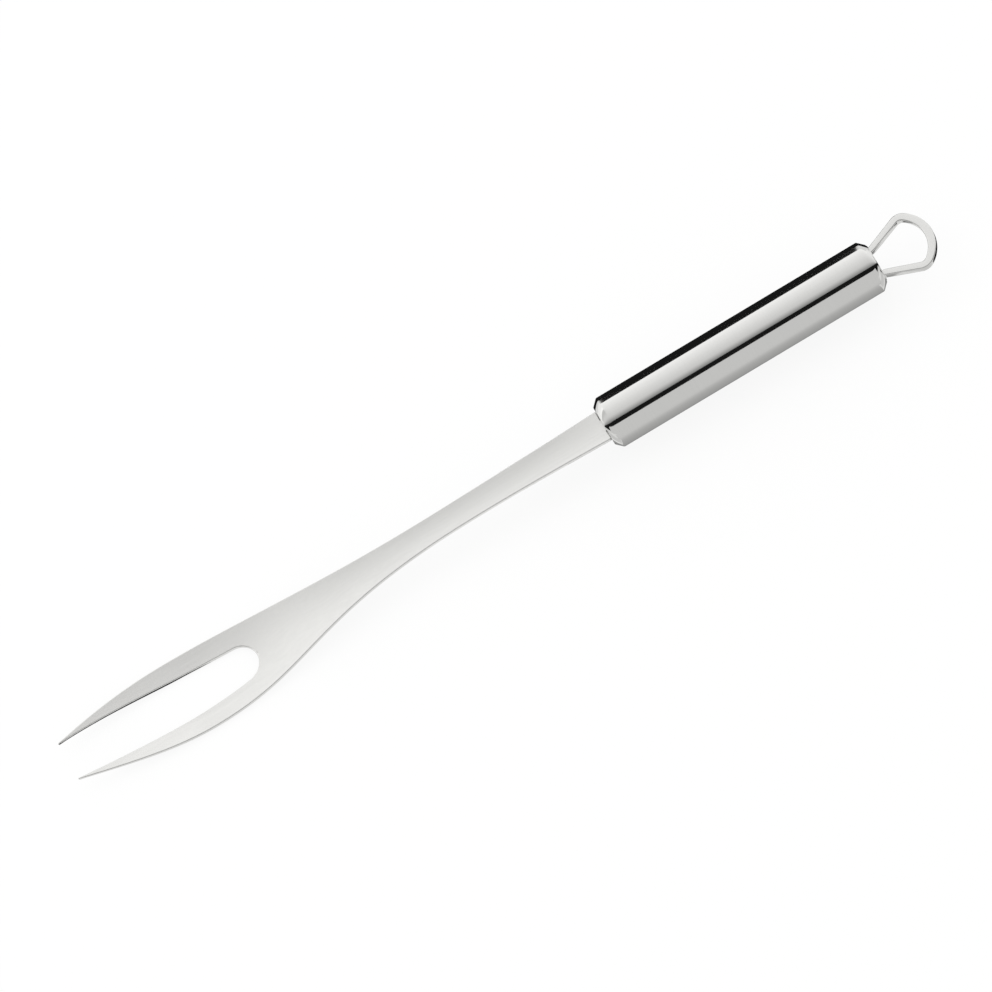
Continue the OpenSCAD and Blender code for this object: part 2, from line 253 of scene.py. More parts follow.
def spine_z(x):
    if x < BELLY_AT:
        return spline(x, (0, -TIP_DROP, -TIP_SLOPE), (BELLY_AT, -BELLY_DROP, 0), TIP_TO_BELLY)
    if x < LEVEL_AT:
        return spline(x, (BELLY_AT, -BELLY_DROP, 0), (LEVEL_AT, 0, 0), BELLY_TO_LEVEL)
    return 0.0


def skin_point(p, face, depth=0.0):
    """Point of the upper (face 1) or lower (face -1) skin over the plan point p, sunk by depth."""
    x, y = p
    f = smooth((x - GAP_L) / (NECK_AT - GAP_L))
    camber = (1 - f) / HEAD_CAMBER_R + f / SHANK_CAMBER_R
    thickness = TIP_T + (SHEET_T - TIP_T) * smooth(x / THIN_L)
    z = spine_z(x) + camber * y * y / 2 + face * (thickness / 2 - depth)
    return (x + TIPS_X, y, z + AXIS_Z)


def outline(x):
    """Point of the outer edge and the direction that it faces."""
    normal = Vector((-slope(outer_y, x), 1)).normalized()
    return Vector((x, outer_y(x))), normal


def blade_rings():
    """Rings across the half at +Y: (inner point, its normal or None, outer point, its normal)."""
    rings = []
    for f in steps(0, 1, TINE_RINGS)[:-1]:
        x = TIP_POINT + (ROOT_START - TIP_POINT) * f ** TINE_CROWDING
        normal = Vector((slope(inner_y, x), -1)).normalized()
        rings.append((Vector((x, inner_y(x))), normal, *outline(x)))
    for f in steps(0, 1, ROOT_RINGS):
        a = (math.pi / 2 - ROOT_SPLAY) * (1 - f)
        away = Vector((math.cos(a), math.sin(a)))
        inner = Vector((ROOT_CENTRE, 0)) + ROOT_R * away
        rings.append((inner, -away, *outline(ROOT_START + (GAP_L - ROOT_START) * f)))
    corner = Vector((SHANK_END - SHOULDER_R, outer_y(SHANK_END) - SHOULDER_R))
    for x in steps(GAP_L, corner.x, PALM_RINGS)[1:]:
        rings.append((Vector((x, 0)), None, *outline(x)))
    for f in steps(0, 1, CORNER_RINGS)[1:]:
        away = Vector((math.sin(f * math.pi / 2), math.cos(f * math.pi / 2)))
        middle = Vector((corner.x + SHOULDER_R * f / 2, 0))
        rings.append((middle, None, corner + SHOULDER_R * away, away))
    fillet = Vector((SHANK_END + TANG_FILLET, TANG_W / 2 + TANG_FILLET))
    for f in steps(0, 1, CORNER_RINGS):
        away = Vector((math.cos(f * math.pi / 2), math.sin(f * math.pi / 2)))
        middle = Vector((SHANK_END - SHOULDER_R * FILLET_FAN * (1 - f), 0))
        rings.append((middle, None, fillet - TANG_FILLET * away, away))
    for x in steps(fillet.x, BLADE_L + TANG_IN, TANG_RINGS)[1:]:
        rings.append((Vector((x, 0)), None, Vector((x, TANG_W / 2)), Vector((0, 1))))
    return rings


def rounded_edge(p, normal, r):
    """Points round the sheet's edge at p, from the upper skin to the lower."""
    upper, lower = (
        [skin_point(p - normal * r * (1 - math.sin(a)), face, r * (1 - math.cos(a))) for a in EDGE_ANGLES]
        for face in (1, -1))
    return upper + lower[::-1]


def ring_skin(ring):
    """Skin points of one ring: the outer way round, then the inner edge."""
    inner, inner_normal, outer, outer_normal = ring
    room = EDGE_R if inner_normal is None else EDGE_ROOM * (outer - inner).length
    r = min(EDGE_R, room)
    start = inner if inner_normal is None else inner - r * inner_normal
    end = outer - r * outer_normal
    support = min(SUPPORT_SHARE, SUPPORT_MM / max((end - start).length, SUPPORT_MM))
    shares = [0.0] + steps(support, 1 - support, ROW_STEPS) + [1.0]
    plan = [start + (end - start) * f for f in shares]
    edge = rounded_edge(outer, outer_normal, r)
    half = [skin_point(p, 1) for p in plan[1:]] + edge + [skin_point(p, -1) for p in plan[:0:-1]]
    inside = [] if inner_normal is None else rounded_edge(inner, inner_normal, r)[::-1]
    return half, [skin_point(plan[0], -1)] + inside + [skin_point(plan[0], 1)]


def fork_blade(material):
    points, marks, rows = [], [], []
    row_n = ROW_STEPS + 2
    edge_n = 2 * len(EDGE_ANGLES)
    half_wear = [0.0] * row_n + [1.0] * edge_n + [0.0] * row_n
    inner_wear = [0.0] + [1.0] * edge_n + [0.0]

    def add(skin, wear):
        first = len(points)
        points.extend(skin)
        marks.extend(wear)
        return list(range(first, first + len(skin)))

    def mirrored(skin):
        return [(p[0], -p[1], p[2]) for p in skin]

    rings = blade_rings()
    gap_end = TINE_RINGS + ROOT_RINGS
    for i, ring in enumerate(rings):
        half, inside = ring_skin(ring)
        sides = [add(half, half_wear), add(mirrored(half), half_wear)]
        if i < gap_end:
            edges = [add(inside, inner_wear), add(mirrored(inside), inner_wear)]
            rows.append([sides[0] + edges[0], sides[1] + edges[1]])
        else:
            # Both halves share the edge at the gap's root, and the middle line behind it
            middle = add(inside, inner_wear if len(inside) > 2 else [0.0, 0.0])
            fan = middle if len(middle) > 2 else [middle[0]] + [middle[1]] * (edge_n + 1)
            rows.append([sides[0] + fan, sides[1] + fan])

    loop_n = len(rows[0][0])
    half_n = len(half_wear)
    faces = []
    for i, (here, there) in enumerate(zip(rows, rows[1:])):
        for side in (0, 1):
            for k in range(loop_n):
                # Behind the gap there is no inner edge to skin
                if i >= gap_end and half_n <= k < loop_n - 1:
                    continue
                after = (k + 1) % loop_n
                quad = [here[side][k], here[side][after], there[side][after], there[side][k]]
                faces.append(list(dict.fromkeys(quad)))
    tip = skin_point((0, TIP_SPAN / 2 - TIP_W / 2), 0)
    tips = add([tip, (tip[0], -tip[1], tip[2])], [1.0, 1.0])
    tang_tip = add([skin_point((BLADE_L + TANG_IN, 0), 0)], [0.0])[0]
    for side in (0, 1):
        for k in range(loop_n):
            after = (k + 1) % loop_n
            faces.append([tips[side], rows[0][side][k], rows[0][side][after]])
            end = list(dict.fromkeys([tang_tip, rows[-1][side][k], rows[-1][side][after]]))
            if (k < half_n or k == loop_n - 1) and len(end) == 3:
                faces.append(end)
    return new_object("blade_skin", points, faces, material, marks)


# Turned pieces: a profile of (x, radius) points, turned about the handle's axis

TURN_STEPS = 256
ARC_STEPS = 14


def arc(x, r, radius, low, high):
    """Points of an arc about (x, r), with its angle counted from +X towards larger radii."""
    angles = steps(math.radians(low), math.radians(high), ARC_STEPS)
    return [(x + radius * math.cos(a), r + radius * math.sin(a)) for a in angles]


def turned(name, profile, material):
    """A closed profile turned about the axis. A point of radius 0 is one vertex."""
    points, rows = [], []
    for x, r in profile:
        count = TURN_STEPS if r > 0 else 1
        first = len(points)
        for i in range(count):
            a = 2 * math.pi * i / TURN_STEPS
            points.append((x, r * math.sin(a), AXIS_Z + r * math.cos(a)))
        rows.append([first + i % count for i in range(TURN_STEPS)])
    faces = []
    for i, here in enumerate(rows):
        there = rows[(i + 1) % len(rows)]
        for k in range(TURN_STEPS):
            after = (k + 1) % TURN_STEPS
            quad = list(dict.fromkeys([here[k], here[after], there[after], there[k]]))
            if len(quad) > 2:
                faces.append(quad)
    return new_object(name, points, faces, material)


def rounded_box(width, height, r, angles):
    """Points of a rounded rectangle round its middle, corner by corner."""
    points = []
    for across, up, turn in ((1, 1, 0), (-1, 1, 90), (-1, -1, 180), (1, -1, 270)):
        for a in angles:
            angle = math.radians(turn + a)
            points.append((across * (width / 2 - r) + r * math.cos(angle),
                           up * (height / 2 - r) + r * math.sin(angle)))
    return points


# The tube's ends are domed. Their arc is placed by (depth from the end face, radius).
END_CHORD = Vector((END_L, TUBE_R - END_FACE_R))
END_ARC_DEPTH = math.sqrt(END_R ** 2 - (END_CHORD.length / 2) ** 2)
END_ARC_SIDE = Vector((END_CHORD.y, -END_CHORD.x)).normalized()
END_ARC = Vector((0, END_FACE_R)) + END_CHORD / 2 + END_ARC_DEPTH * END_ARC_SIDE
MOUTH_FRONT = FRONT_CAP_R + CAP_FIT
MOUTH_REAR = REAR_CAP_R + CAP_FIT
BORE_R = TUBE_R - WALL
FLANGE_R = (MOUTH_REAR + BORE_R) / 2
FLANGE_AT = END_ARC.x - math.sqrt((END_R - WALL - CAP_FIT) ** 2 - (FLANGE_R - END_ARC.y) ** 2)
INSIDE_CORNER_R = 0.3
SIDE_RINGS = 24

# A ring this near to a sharp corner keeps the shading of the face beyond it flat
HOLD = 0.05
REAR_CAP_HOLD = 0.1

# In the mirror finish the dome's outside is turned as a cone between two arcs, within 0.2 mm of it
CONE_START = Vector((0.05, 7.5))
CONE_TILT = math.radians(44.4)
FACE_CORNER_R = 0.3
SIDE_CORNER_R = 0.8

# How far a cutter reaches past what it cuts, and the angles at which its edges are rounded
OVER = 1
CUT_ANGLES = (0, 30, 60, 90)


def coned_end():
    """The outside of one end, from its face to its side."""
    away = Vector((-math.sin(CONE_TILT), math.cos(CONE_TILT)))
    turn = 90 + math.degrees(CONE_TILT)
    face_corner = Vector((FACE_CORNER_R, 0))
    face_corner.y = CONE_START.y - (FACE_CORNER_R + (FACE_CORNER_R - CONE_START.x) * away.x) / away.y
    side_corner = Vector((0, TUBE_R - SIDE_CORNER_R))
    side_corner.x = CONE_START.x - (SIDE_CORNER_R + (side_corner.y - CONE_START.y) * away.y) / away.x
    return arc(*face_corner, FACE_CORNER_R, 180, turn) + arc(*side_corner, SIDE_CORNER_R, turn, 90)


def domed_inside(start_r):
    """The inside of one end, from a radius on its dome to its side, with a softened corner."""
    radius = END_R - WALL
    corner = Vector((0, TUBE_R - WALL - INSIDE_CORNER_R))
    corner.x = END_ARC.x - math.sqrt((radius - INSIDE_CORNER_R) ** 2 - (corner.y - END_ARC.y) ** 2)
    low = 180 - math.degrees(math.asin((start_r - END_ARC.y) / radius))
    high = math.degrees(math.atan2(corner.y - END_ARC.y, corner.x - END_ARC.x))
    return arc(*END_ARC, radius, low, high) + arc(*corner, INSIDE_CORNER_R, high, 90)[1:]


def soften_ends(mesh, profile, reach):
    """Leans the outside's normals evenly over each end, so that its light blends into the side's."""
    normals = [normal.vector.copy() for normal in mesh.vertex_normals]
    for i, (x, r) in enumerate(profile):
        depth = min(x - TUBE_FRONT, TUBE_REAR - x)
        cone_r = CONE_START.y + (depth - CONE_START.x) * math.tan(CONE_TILT)
        if CONE_START.x < depth < reach and r > cone_r - WALL / 2:
            tilt = CONE_TILT * (1 - depth / reach)
            side = -1 if x < (TUBE_FRONT + TUBE_REAR) / 2 else 1
            for k in range(TURN_STEPS):
                a = 2 * math.pi * k / TURN_STEPS
                normals[i * TURN_STEPS + k] = Vector((
                    side * math.sin(tilt), math.cos(tilt) * math.sin(a), math.cos(tilt) * math.cos(a)))
    mesh.normals_split_custom_set_from_vertices(normals)


def handle_tube(material):
    outside = coned_end()
    face_edge = (0, outside[0][1] - HOLD)
    front = [(HOLD, MOUTH_FRONT), (0, MOUTH_FRONT + HOLD), face_edge] + outside
    rear = [(HOLD, MOUTH_REAR), (0, MOUTH_REAR + HOLD), face_edge] + outside
    flat_r = END_ARC.y + math.sqrt((END_R - WALL) ** 2 - (WALL - END_ARC.x) ** 2)
    inside_front = [(WALL, MOUTH_FRONT)] + domed_inside(flat_r)
    profile = [(TUBE_FRONT + x, r) for x, r in front]
    profile += [(x, TUBE_R) for x in steps(TUBE_FRONT + 2 * END_L, TUBE_REAR - 2 * END_L, SIDE_RINGS)]
    profile += [(TUBE_REAR - x, r) for x, r in rear[::-1] + domed_inside(MOUTH_REAR)]
    profile += [(TUBE_FRONT + x, r) for x, r in inside_front[::-1]]
    piece = turned("handle_tube_polished", profile, material)
    soften_ends(piece.data, profile, outside[-1][0])
    return piece


def slot_cutter(x_low, x_high, y_middle, width, height, r):
    """A box along X at the axis's height, with rounded long edges."""
    section = [(y_middle + y, AXIS_Z + z) for y, z in rounded_box(width, height, r, CUT_ANGLES)]
    n = len(section)
    points = [(x, y, z) for x in (x_low, x_high) for y, z in section]
    faces = [list(range(n)), list(range(n, 2 * n))]
    faces += [[k, (k + 1) % n, n + (k + 1) % n, n + k] for k in range(n)]
    return new_object("slot", points, faces, None)


def front_cap(material):
    back = TUBE_FRONT + FRONT_CAP_L
    flange = TUBE_FRONT + FLANGE_AT
    rim = FRONT_CAP_EDGE_R
    profile = [(TUBE_FRONT, 0), (TUBE_FRONT, FRONT_CAP_R - rim - HOLD)]
    profile += arc(TUBE_FRONT + rim, FRONT_CAP_R - rim, rim, 180, 90)
    profile += [(flange, FRONT_CAP_R), (flange, FLANGE_R), (back, FLANGE_R), (back, 0)]
    piece = turned("front_cap_turned", profile, material)
    width, height = TANG_W + 2 * TANG_FIT, SHEET_T + 2 * TANG_FIT
    cut(piece, [slot_cutter(TUBE_FRONT - OVER, back + OVER, 0, width, height, SLOT_EDGE_R)])
    return piece


def rear_cap(material):
    back = TUBE_REAR - REAR_CAP_L
    flange = TUBE_REAR - FLANGE_AT
    rim = REAR_CAP_EDGE_R
    profile = [(back, 0), (back, FLANGE_R), (flange, FLANGE_R), (flange, REAR_CAP_R)]
    profile += [(REAR_CAP_FACE - rim - REAR_CAP_HOLD, REAR_CAP_R)]
    profile += arc(REAR_CAP_FACE - rim, REAR_CAP_R - rim, rim, 90, 0)
    profile += [(REAR_CAP_FACE, REAR_CAP_R - rim - REAR_CAP_HOLD), (REAR_CAP_FACE, 0)]
    piece = turned("rear_cap_turned", profile, material)
    width, height = LEG_W + 2 * LEG_FIT, LOOP_T + 2 * LEG_FIT
    hole_r = LOOP_EDGE_R + LEG_FIT
    cut(piece, [slot_cutter(back - OVER, REAR_CAP_FACE + OVER, side * LEG_Y, width, height, hole_r)
                for side in (-1, 1)])
    return piece


# The hanging loop: a bar with rounded edges swept along legs, bends, corners and the far end

BEND_STEPS = 16
LEG_STEPS = 12
CORNER_STEPS = 32
CROWN_STEPS = 32
SECTION_ANGLES = (0, 15, 30, 45, 60, 75, 90)

# The straight leg ends this far before its bend
LEG_HOLD = 0.2


def left_of(a):
    """Direction to the left of heading a."""
    return Vector((-math.sin(a), math.cos(a)))


def loop_line():
    """Middle line as (point, heading), from the end of the leg at +Y round to the other leg."""
    reach = LOOP_END - TUBE_REAR
    proud = REAR_CAP_FACE - TUBE_REAR
    crown_x = reach - CROWN_W / 2 - CROWN_R
    bend = Vector((proud, LEG_Y + LEG_BEND_R))
    bend_end = bend - LEG_BEND_R * left_of(LEG_SPREAD)
    offset = (crown_x - bend_end.x) * math.sin(LEG_SPREAD) + bend_end.y * math.cos(LEG_SPREAD) - CORNER_R
    crown_turn = LEG_SPREAD + math.asin(offset / (CROWN_R - CORNER_R))
    crown = Vector((crown_x, 0))
    corner = crown + (CROWN_R - CORNER_R) * Vector((math.cos(crown_turn), math.sin(crown_turn)))
    line = [(Vector((-LEG_IN, LEG_Y)), 0.0), (Vector((proud - LEG_HOLD, LEG_Y)), 0.0)]
    line += [(bend - LEG_BEND_R * left_of(a), a) for a in steps(0, LEG_SPREAD, BEND_STEPS)]
    turn_end = crown_turn - math.pi / 2
    corner_line = [(corner + CORNER_R * left_of(a), a) for a in steps(LEG_SPREAD, turn_end, CORNER_STEPS)]
    leg = [line[-1][0] + (corner_line[0][0] - line[-1][0]) * f for f in steps(0, 1, LEG_STEPS)[1:-1]]
    line += [(p, LEG_SPREAD) for p in leg] + corner_line
    line += [(crown + CROWN_R * left_of(a), a) for a in steps(turn_end, -math.pi / 2, CROWN_STEPS)[1:]]
    back = [(Vector((p.x, -p.y)), -math.pi - a) for p, a in line[-2::-1]]
    return line + back


def hanging_loop(material):
    line = loop_line()
    lengths = [0.0]
    for (p, _), (q, _) in zip(line, line[1:]):
        lengths.append(lengths[-1] + (q - p).length)
    bend_at = lengths[2]
    half = lengths[-1] / 2 - bend_at
    section_wear = [1.0 if 0 < a < 90 else 0.0 for a in SECTION_ANGLES] * 4
    points, marks = [], []
    for (at, heading), along in zip(line, lengths):
        near = min(along, lengths[-1] - along)
        width = LEG_W + (CROWN_W - LEG_W) * max(0.0, (near - bend_at) / half)
        side = left_of(heading)
        for v, w in rounded_box(width, LOOP_T, LOOP_EDGE_R, SECTION_ANGLES):
            points.append((TUBE_REAR + at.x + v * side.x, at.y + v * side.y, AXIS_Z + w))
        marks += section_wear
    n = len(section_wear)
    faces = [list(range(n)), list(range(len(points) - n, len(points)))]
    for i in range(len(line) - 1):
        for k in range(n):
            after = (k + 1) % n
            faces.append([i * n + k, i * n + after, (i + 1) * n + after, (i + 1) * n + k])
    return new_object("loop_wire", points, faces, material, marks)


# Materials

NOISE_ROUGHNESS = 0.55
FINE_DETAIL = 2
SOFT_DETAIL = 3

# Most of a noise's values lie in this range
NOISE_RANGE = (0.3, 0.7)
SMEAR_RANGE = (0.35, 0.7)

# Waves a metre of each noise, along the fork and across it
GRAIN_STRETCH = (60, 3600, 3600)
STREAK_STRETCH = (14, 900, 900)
LINE_STRETCH = (4200, 25, 25)
SMEAR_STRETCH = (45, 90, 90)
CLOUD_SCALE = 55

# Colours of the steel, from the darkest grain or line to the lightest, and of a worn edge
SATIN_TONES = ((0.642, 0.639, 0.625), (0.668, 0.665, 0.65))
POLISH_TONES = ((0.645, 0.643, 0.63), (0.66, 0.658, 0.644))
WORN_TONE = (0.70, 0.698, 0.685)
WORN_SHARE = 0.6

# Roughness, and what clouds, smears and worn edges add to it or take from it
SATIN_ROUGH = (0.2, 0.24)
CLOUD_ROUGH = (-0.012, 0.012)
SMEAR_ROUGH = (-0.01, 0.015)
WORN_SMOOTHER = 0.08
SATIN_ANISOTROPY = 0.7

# Bumps, with their heights in metres
GRAIN_STRENGTH = 0.25
GRAIN_HEIGHT = 0.00001
LINE_STRENGTH = 0.2


class Nodes:
    """Shorthand for the nodes of one material or world."""

    def __init__(self, owner):
        owner.use_nodes = True
        self.tree = owner.node_tree
        self.tree.nodes.clear()

    def add(self, kind, inputs=None, **settings):
        node = self.tree.nodes.new("ShaderNode" + kind)
        for name, value in settings.items():
            setattr(node, name, value)
        for name, value in (inputs or {}).items():
            socket = node.inputs[name]
            if isinstance(value, bpy.types.NodeSocket):
                self.tree.links.new(value, socket)
            else:
                socket.default_value = value
        return node

    def surface(self, kind, inputs):
        """Adds a shader and makes it what the surface shows."""
        self.add("OutputMaterial", {"Surface": self.add(kind, inputs).outputs[0]})

    def ramp(self, value, stops):
        """A grey that follows the value. A stop is (value, level), both from 0 to 1."""
        node = self.add("ValToRGB", {"Fac": value})
        elements = node.color_ramp.elements
        elements[0].position, elements[1].position = stops[0][0], stops[-1][0]
        for place, _ in stops[1:-1]:
            elements.new(place)
        for element, (_, level) in zip(elements, stops):
            element.color = (level, level, level, 1)
        return node.outputs["Color"]

    def noise(self, vector, detail, stretch=(1, 1, 1), scale=1):
        mapping = self.add("Mapping", {"Vector": vector, "Scale": stretch})
        return self.add("TexNoise", {
            "Vector": mapping.outputs["Vector"], "Scale": scale,
            "Detail": detail, "Roughness": NOISE_ROUGHNESS}).outputs["Fac"]

    def between(self, value, to_range, from_range):
        """The value moved from one range to another."""
        return self.add("MapRange", {
            "Value": value, "From Min": from_range[0], "From Max": from_range[1],
            "To Min": to_range[0], "To Max": to_range[1]}).outputs["Result"]

    def math(self, operation, a, b=0.0):
        return self.add("Math", {0: a, 1: b}, operation=operation).outputs[0]

    def mix(self, factor, a, b):
        node = self.add("Mix", {"Factor": factor}, data_type="RGBA")
        colour_a, colour_b, colour_out = node.inputs[6], node.inputs[7], node.outputs[2]
        for socket, value in ((colour_a, a), (colour_b, b)):
            if isinstance(value, bpy.types.NodeSocket):
                self.tree.links.new(value, socket)
            else:
                socket.default_value = (*value, 1)
        return colour_out


def new_material(name):
    material = bpy.data.materials.new(name)
    return material, Nodes(material)


def satin_steel():
    """Fine satin finish whose grain runs along the fork, with edges polished by use."""
    material, n = new_material("satin_steel")
    place = n.add("TexCoord").outputs["Object"]
    grain = n.noise(place, FINE_DETAIL, GRAIN_STRETCH)
    streaks = n.noise(place, SOFT_DETAIL, STREAK_STRETCH)
    clouds = n.noise(place, FINE_DETAIL, scale=CLOUD_SCALE)
    wear = n.add("Attribute", attribute_name="edge_wear").outputs["Fac"]
    tone = n.mix(n.between(grain, (0.0, 1.0), NOISE_RANGE), *SATIN_TONES)
    tone = n.mix(n.math("MULTIPLY", wear, WORN_SHARE), tone, WORN_TONE)
    rough = n.between(streaks, SATIN_ROUGH, NOISE_RANGE)
    rough = n.math("ADD", rough, n.between(clouds, CLOUD_ROUGH, NOISE_RANGE))
    rough = n.math("SUBTRACT", rough, n.math("MULTIPLY", wear, WORN_SMOOTHER))
    bump = n.add("Bump", {"Height": grain, "Strength": GRAIN_STRENGTH, "Distance": GRAIN_HEIGHT})
    across = n.add("CombineXYZ", {"X": 0.0, "Y": 1.0, "Z": 0.0})
    n.surface("BsdfPrincipled", {
        "Base Color": tone, "Metallic": 1.0, "Roughness": rough, "Anisotropic": SATIN_ANISOTROPY,
        "Tangent": across.outputs["Vector"], "Normal": bump.outputs["Normal"]})
    return material


def polished_steel(name, roughness, line_height):
    """Polished steel with faint turning lines round the axis and a few soft smears."""
    material, n = new_material(name)
    place = n.add("TexCoord").outputs["Object"]
    lines = n.noise(place, FINE_DETAIL, LINE_STRETCH)
    smears = n.noise(place, SOFT_DETAIL, SMEAR_STRETCH)
    tone = n.mix(n.between(lines, (0.0, 1.0), NOISE_RANGE), *POLISH_TONES)
    rough = n.between(smears, [roughness + change for change in SMEAR_ROUGH], SMEAR_RANGE)
    bump = n.add("Bump", {"Height": lines, "Strength": LINE_STRENGTH, "Distance": line_height})
    n.surface("BsdfPrincipled", {
        "Base Color": tone, "Metallic": 1.0, "Roughness": rough, "Normal": bump.outputs["Normal"]})
    return material


# Studio: white surroundings, a long gradient light over the fork, black flags, cards with painted floor
# shade that only the steel sees, a pale floor.
# A card's place is given by its angle round the fork's axis, in degrees: 0 is straight up, 90 is level
# on the camera's side and -90 is level on the far side. Lengths are in metres from here on.

AXIS_M = AXIS_Z * MM
FRONT, REAR, TIPS, LOOP = (x * MM for x in (TUBE_FRONT, TUBE_REAR, TIPS_X, LOOP_END))
WHITE = (1, 1, 1, 1)

TENT_R = 0.9
TENT_HALF = 1.0
BLADE_TENT_R = 0.3
BLADE_TENT_FRONT = -0.7
PANEL_STEP = 3
END_STEP = 6
END_OVERLAP = 1.1
CARD_LIFT = 0.0006

# Edges of the cards, from the far floor over the top to the near floor
FAR_FLOOR, END_FAR_FLOOR, FAR_EDGE = -93, -91, -64.6
SLOT_LOW, SLOT_HIGH, END_SIDE_LOW, NEAR_FLOOR = 30.8, 49, 75, 92
BLADE_FAR, BLADE_NEAR = -75, 32

# A level is the light that shows in the steel, which sends back this share of what falls on it.
# A ramp holds levels up to 1, so its light is multiplied by RAMP_GAIN.
STEEL_SHARE = 0.65
RAMP_GAIN = 2.0
BLACK_LEVEL = 0.0078
SIDE_LEVEL = 0.53
EDGE_LEVEL = 0.74

# Light at angles round the axis, as (angle, level)
OVERHEAD_LIGHT = (
    (FAR_EDGE, 0.86), (-54, 0.835), (-44, 0.787), (-34, 0.747), (-25, 0.716), (-16, 0.672),
    (-7, 0.638), (1.5, 0.597), (10, 0.56), (18, 0.43), (26, 0.28), (SLOT_LOW, 0.21))
END_LIGHT = ((END_FAR_FLOOR, 0.79), (-60, 0.78)) + OVERHEAD_LIGHT[3:]
BLADE_LIGHT = (
    (BLADE_FAR, 0.80), (-50, 0.82), (-40, 0.90), (-34, 0.91), (-28, 0.51), (-18, 0.49),
    (-8, 0.56), (1.5, 0.585), (10, 0.555), (18, 0.43), (26, 0.28), (BLADE_NEAR, 0.2))

# Painted shadow of the fork on the floor, as the steel sees it: light at distances from the axis towards
# the camera, as (distance, level), darkest next to the handle
FLOOR_SHADOW_LIGHT = (
    (0.002, 0.15), (0.007, 0.22), (0.011, 0.295), (0.0175, 0.345),
    (0.025, 0.385), (0.034, 0.44), (0.05, 0.515), (0.086, 0.53))

# Corners of the cards on the floor, as (x, y)
# Black flag lying on the floor on the far side; its piece that reaches under the shank's end is painted
# shade, where the shank shades the floor
FAR_FLAG_AND_SHANK_SHADE = (
    (FRONT - 0.04, 0.013), (FRONT - 0.03, -0.006), (FRONT - 0.002, -0.006), (FRONT - 0.002, 0.013),
    (REAR, 0.013), (REAR + 0.02, 0.02), (REAR + 0.035, 0.05), (REAR + 0.05, 0.1), (REAR + 0.05, 0.95),
    (FRONT - 0.05, 0.95), (FRONT - 0.05, 0.1), (FRONT - 0.04, 0.05))
# Painted shade on the floor between the tines, under the far tine's inner edge, where the tines shade it
TINE_SHADE_CARD = (
    (TIPS - 0.004, 0.0035), (TIPS + 0.02, 0.0052), (TIPS + 0.045, 0.0078),
    (TIPS + 0.066, 0.0079), (TIPS + 0.045, 0.0095), (TIPS - 0.004, 0.0095))
# Painted shade on the floor under and beyond the loop's far end, where the loop shades it
LOOP_SHADE_CARD = (
    (LOOP + 0.00135, -0.0142), (LOOP + 0.01435, -0.0142), (LOOP + 0.02235, -0.005), (LOOP + 0.02235, 0.018),
    (LOOP - 0.00315, 0.018), (LOOP - 0.00315, -0.0045), (LOOP + 0.00135, -0.0045))
# Painted shade on the floor under the loop's far leg, where the leg shades it
CORNER_SHADE_CARD = (
    (LOOP - 0.01665, 0.0065), (LOOP - 0.01365, 0.0065), (LOOP - 0.01365, 0.0093), (LOOP - 0.01665, 0.0093))
EDGE_CARD = (
    (FRONT - 0.075, -0.0165), (FRONT - 0.002, -0.0165), (FRONT - 0.002, -0.0128), (FRONT - 0.075, -0.0125))
# Card with the painted floor shadow along the handle, on the camera's side
FLOOR_SHADOW_CARD = (
    (FRONT - 0.1, -0.95), (REAR + 0.1, -0.95), (REAR + 0.1, -0.2), (REAR + 0.01, -0.04),
    (REAR - 0.002, -0.038), (REAR - 0.002, -0.0118), (REAR + 0.013, -0.0118), (REAR + 0.013, -0.002),
    (FRONT - 0.018, -0.002), (FRONT - 0.018, -0.0125), (FRONT + 0.001, -0.0125), (FRONT + 0.001, -0.038),
    (FRONT - 0.01, -0.04), (FRONT - 0.1, -0.2))

# Cards at the tent's ends: how far the domes' cards reach, and the low flag's width and height
END_CARD_L = 0.235
LOW_FLAG_W = 0.16
LOW_FLAG_H = 0.06
LOW_FLAG_GAP = 0.002

# Floor, seen by the camera and in reflections as mostly glowing, so that it stays white
FLOOR_HALF = 4.0
FLOOR_PAINT = (0.93, 0.93, 0.925, 1)
FLOOR_GLOW_SHARE = 0.85

# Lamp that casts the soft shadow
KEY_SIZE = 1.2
KEY_WATTS = 3.0
KEY_PLACE = (-0.4, 0.5, 1.4)


def stage_mesh(name, points, faces, material):
    mesh = bpy.data.meshes.new(name)
    mesh.from_pydata(points, [], faces)
    mesh.materials.append(material)
    piece = bpy.data.objects.new(name, mesh)
    bpy.context.scene.collection.objects.link(piece)
    return piece


def card(name, points, faces, material):
    """A card that only reflections see: the camera looks past it and it casts no shadow."""
    piece = stage_mesh(name, points, faces, material)
    for kind in ("camera", "diffuse", "transmission", "volume_scatter", "shadow"):
        setattr(piece, "visible_" + kind, False)


def flat_shade(name, level):
    material, n = new_material(name)
    n.surface("Emission", {"Color": WHITE, "Strength": level / STEEL_SHARE})
    return material


def ramp_shade(n, value, stops):
    """Light that follows a value of the card's own place. A stop is (value, level)."""
    low, high = stops[0][0], stops[-1][0]
    share = n.between(value, (0.0, 1.0), (low, high))
    colour = n.ramp(share, [
        ((v - low) / (high - low), level / STEEL_SHARE / RAMP_GAIN) for v, level in stops])
    n.surface("Emission", {"Color": colour, "Strength": RAMP_GAIN})


def angle_shade(name, stops):
    """Light that changes with the angle round the fork's axis, in degrees."""
    material, n = new_material(name)
    place = n.add("SeparateXYZ", {"Vector": n.add("TexCoord").outputs["Object"]})
    up = n.math("SUBTRACT", place.outputs["Z"], AXIS_M)
    angle = n.math("ARCTAN2", n.math("MULTIPLY", place.outputs["Y"], -1.0), up)
    ramp_shade(n, n.math("DEGREES", angle), stops)
    return material


